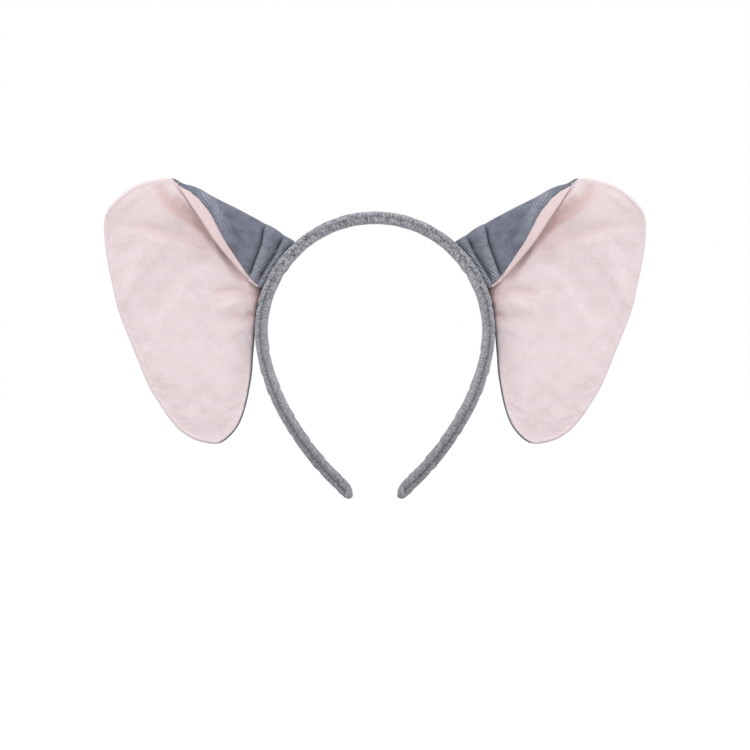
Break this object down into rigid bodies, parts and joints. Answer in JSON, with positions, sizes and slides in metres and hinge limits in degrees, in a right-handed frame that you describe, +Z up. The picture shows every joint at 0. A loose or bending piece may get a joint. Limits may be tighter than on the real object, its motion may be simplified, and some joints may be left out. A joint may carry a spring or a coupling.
{
  "type": "animal ears headband",
  "caption": "Sprung alice band in grey velour with large floppy two-tone ears, each folded and pleated at its sewn base.",
  "frame": {"origin": "middle of the crown's inner face, where the band rests on top of the head", "axes": "+Z up as worn; the wearer and the ears' pink faces look along -Y; +X is the wearer's left, along the ears' span"},
  "size_m": [0.299, 0.0162, 0.1767],
  "materials": {
    "grey_velour": "short-pile velour, matte with a soft sheen",
    "pink_plush": "fine short plush, matte",
    "wadding": "thin polyester wadding",
    "foam": "soft foam strip, matte",
    "core_plastic": "flexible plastic strip, satin",
    "thread": "sewing thread"
  },
  "bodies": {
    "crown": {"crown_cover": "grey_velour", "crown_lining": "grey_velour", "crown_core": "core_plastic", "crown_foam": "foam"},
    "left_arm": {"left_arm_cover": "grey_velour", "left_arm_lining": "grey_velour", "left_arm_core": "core_plastic", "left_arm_foam": "foam", "left_tip_cap": "grey_velour", "left_base_stitches": "thread"},
    "left_ear": {"left_ear_back": "grey_velour", "left_ear_front": "pink_plush", "left_ear_wadding": "wadding"},
    "right_arm": {"right_arm_cover": "grey_velour", "right_arm_lining": "grey_velour", "right_arm_core": "core_plastic", "right_arm_foam": "foam", "right_tip_cap": "grey_velour", "right_base_stitches": "thread"},
    "right_ear": {"right_ear_back": "grey_velour", "right_ear_front": "pink_plush", "right_ear_wadding": "wadding"}
  },
  "joints": [
    {"name": "left_arm_flex", "type": "hinge", "parent": "crown", "child": "left_arm", "pos_m": [0.02472, 0, 0.00219], "axis": [0, -1, 0], "range_deg": [-3, 24], "stiffness_Nm_per_rad": 0.6},
    {"name": "left_ear_swing", "type": "hinge", "parent": "left_arm", "child": "left_ear", "pos_m": [0.06091, 0, -0.01698], "axis": [0.5678, 0, -0.8231], "range_deg": [-15, 35], "stiffness_Nm_per_rad": 0.02},
    {"name": "right_arm_flex", "type": "hinge", "parent": "crown", "child": "right_arm", "pos_m": [-0.02472, 0, 0.00219], "axis": [0, 1, 0], "range_deg": [-3, 24], "stiffness_Nm_per_rad": 0.6},
    {"name": "right_ear_swing", "type": "hinge", "parent": "right_arm", "child": "right_ear", "pos_m": [-0.06091, 0, -0.01698], "axis": [0.5678, 0, 0.8231], "range_deg": [-15, 35], "stiffness_Nm_per_rad": 0.02}
  ]
}
